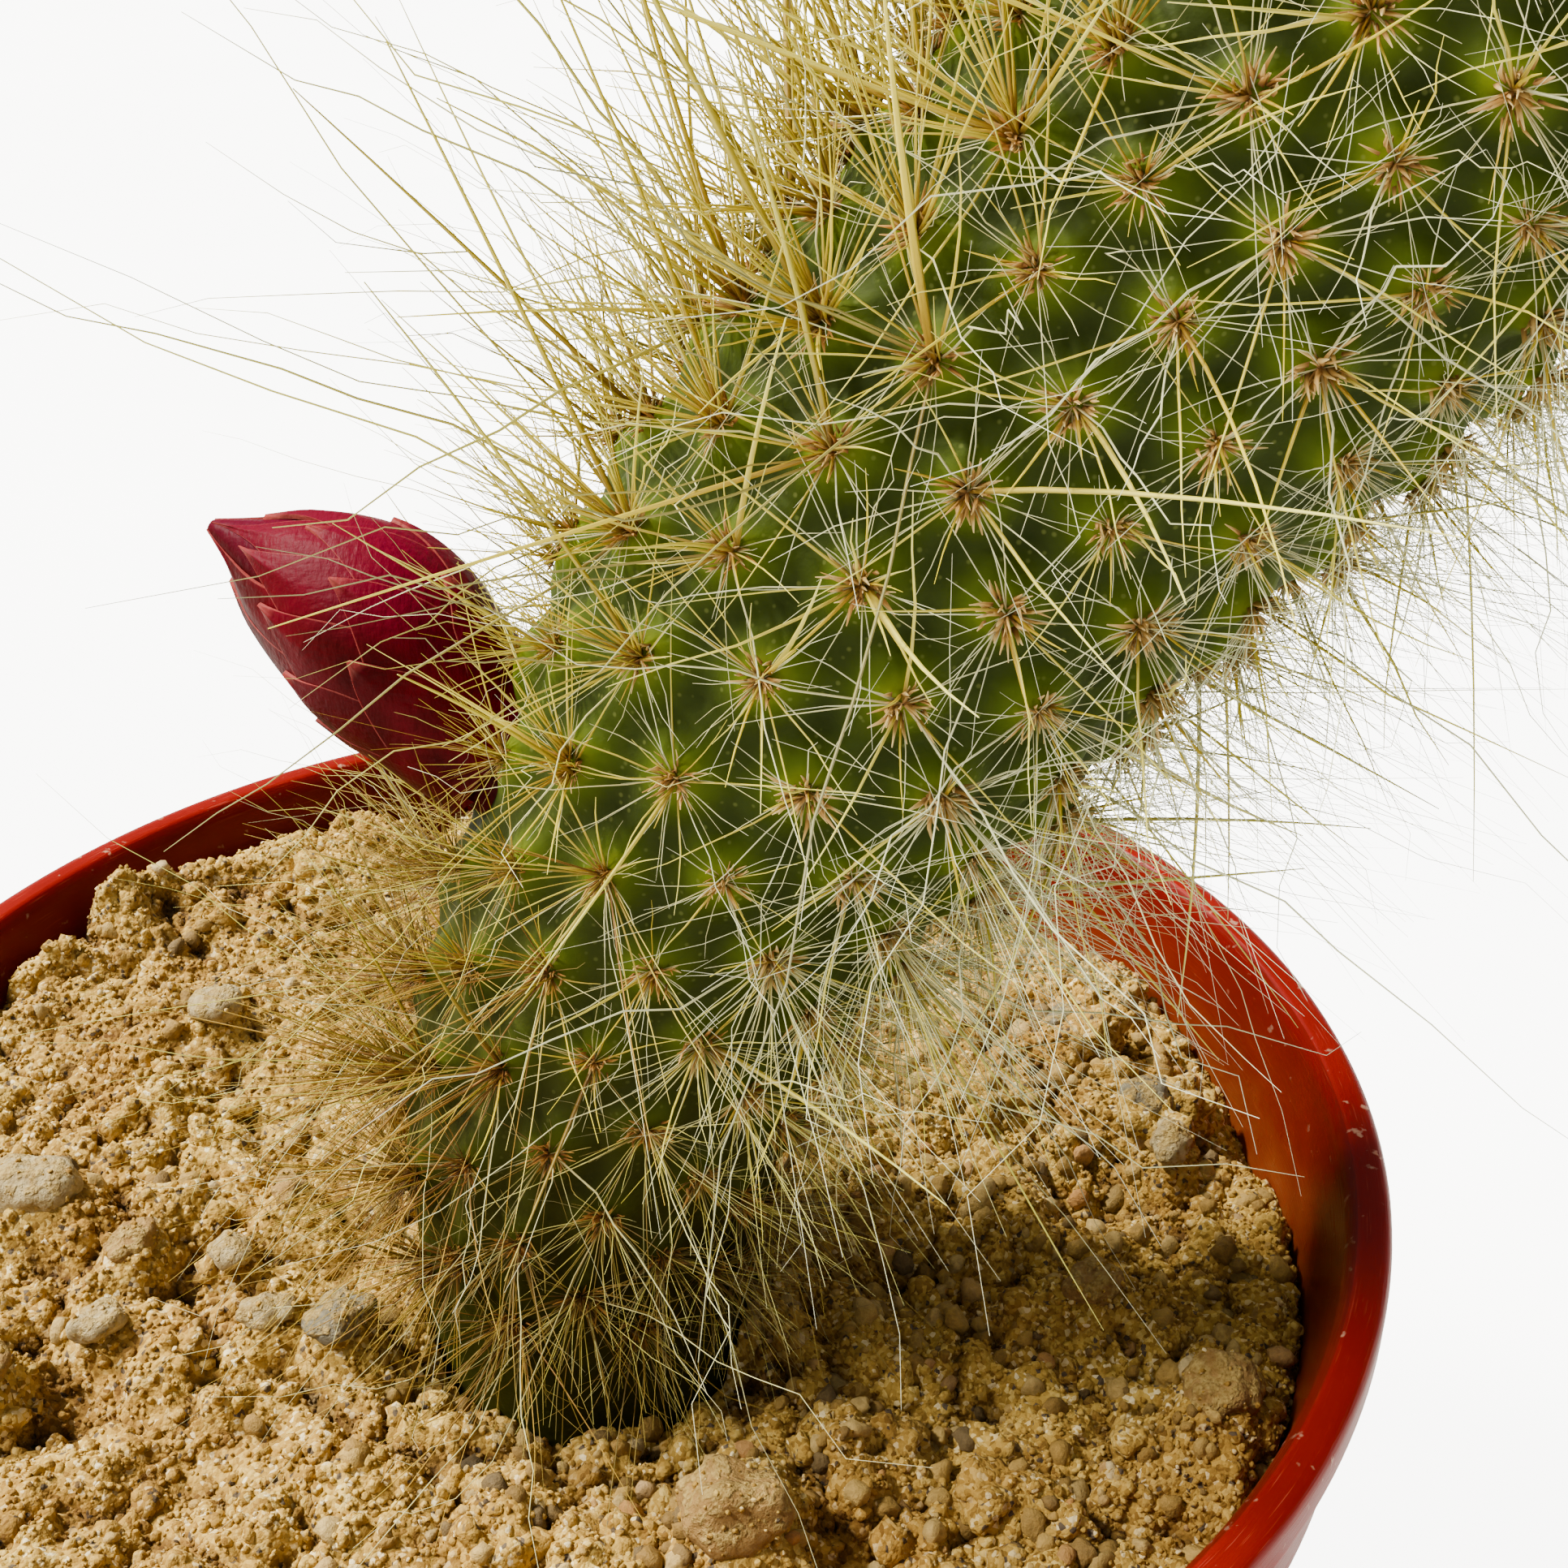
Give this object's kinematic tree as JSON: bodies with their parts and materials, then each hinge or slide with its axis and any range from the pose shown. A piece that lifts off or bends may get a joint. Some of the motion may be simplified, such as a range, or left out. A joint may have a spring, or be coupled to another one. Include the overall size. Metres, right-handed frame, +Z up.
{
  "type": "potted monkey tail cactus",
  "caption": "Arching ribbed cactus stem covered in hair-like golden spines, with a closed red flower bud, in sandy soil in a tapered red plastic pot.",
  "frame": {"origin": "centre of the flat underside of the pot", "axes": "+Z up along the pot's axis, front is -Y, and the stem leans and arches towards +X"},
  "size_m": [0.1414, 0.0996, 0.1841],
  "materials": {
    "pot_plastic": "semi-gloss moulded terracotta-red plastic, slightly translucent, with fine scratches on the rim",
    "sandy_soil": "dry golden-beige coarse sand with crumbs and grit",
    "stem_skin": "waxy green living skin, yellow-green on its crests and dark in its furrows",
    "spine": "hair-like spines from white to golden yellow, with brown woolly cushions",
    "bud_scale": "smooth crimson bud scales with magenta crests and pale tips",
    "bud_core": "dark crimson inner bud",
    "pebble_white": "dusty pale quartz pebble",
    "pebble_grey": "dusty grey pebble",
    "pebble_tan": "dusty orange-tan pebble"
  },
  "bodies": {
    "root": {"pot": "pot_plastic", "soil": "sandy_soil", "stem": "stem_skin", "bud_core": "bud_core", "bud_scale_01": "bud_scale", "bud_scale_02": "bud_scale", "bud_scale_03": "bud_scale", "bud_scale_04": "bud_scale", "bud_scale_05": "bud_scale", "bud_scale_06": "bud_scale", "bud_scale_07": "bud_scale", "bud_scale_08": "bud_scale", "bud_scale_09": "bud_scale", "bud_scale_10": "bud_scale", "bud_scale_11": "bud_scale", "bud_scale_12": "bud_scale", "bud_scale_13": "bud_scale", "bud_scale_14": "bud_scale", "pebble_01": "pebble_tan", "pebble_02": "pebble_grey", "pebble_03": "pebble_white", "pebble_04": "pebble_tan", "pebble_05": "pebble_tan", "pebble_06": "pebble_grey", "pebble_07": "pebble_white", "pebble_08": "pebble_white", "pebble_09": "pebble_white", "pebble_10": "pebble_white", "pebble_11": "pebble_tan", "pebble_12": "pebble_tan", "pebble_13": "pebble_tan", "pebble_14": "pebble_white", "pebble_15": "pebble_grey", "pebble_16": "pebble_tan", "pebble_17": "pebble_tan", "spine_tuft_01": "spine", "spine_tuft_02": "spine", "spine_tuft_03": "spine", "spine_tuft_04": "spine", "spine_tuft_05": "spine", "spine_tuft_06": "spine", "spine_tuft_07": "spine", "spine_tuft_08": "spine", "spine_tuft_09": "spine", "spine_tuft_10": "spine", "spine_tuft_11": "spine", "spine_tuft_12": "spine", "spine_tuft_13": "spine", "spine_tuft_14": "spine", "spine_tuft_15": "spine", "spine_tuft_16": "spine", "spine_tuft_17": "spine", "spine_tuft_18": "spine", "spine_tuft_19": "spine", "spine_tuft_crown": "spine"}
  },
  "joints": []
}
